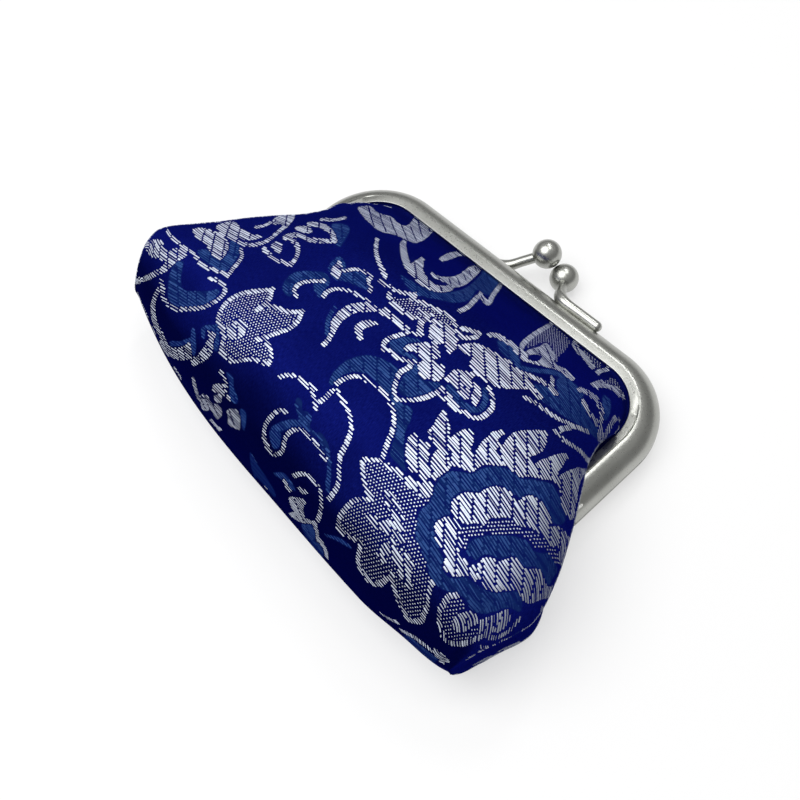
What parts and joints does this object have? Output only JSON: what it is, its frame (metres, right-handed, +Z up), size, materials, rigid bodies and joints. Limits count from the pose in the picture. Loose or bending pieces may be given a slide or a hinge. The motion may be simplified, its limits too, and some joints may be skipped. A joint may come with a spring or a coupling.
{
  "type": "silk coin purse",
  "caption": "Small brocade coin purse with a boxy soft pouch held in a hinged metal kiss-lock frame with crossed ball clasps, lying closed on its back.",
  "frame": {"origin": "middle of the closed purse's box in plan, on the surface that its back lies on", "axes": "+X across the purse from its left to its right, +Y from the pouch's bottom to the frame and clasps, +Z up out of its front"},
  "size_m": [0.105, 0.0762, 0.0271],
  "materials": {
    "nickel": "satin nickel plate on pressed steel",
    "brocade": "satin brocade with silver-white floats"
  },
  "bodies": {
    "root": {"front_frame": "nickel", "back_frame": "nickel", "rivet_left": "nickel", "rivet_right": "nickel", "pouch": "brocade"}
  },
  "joints": []
}
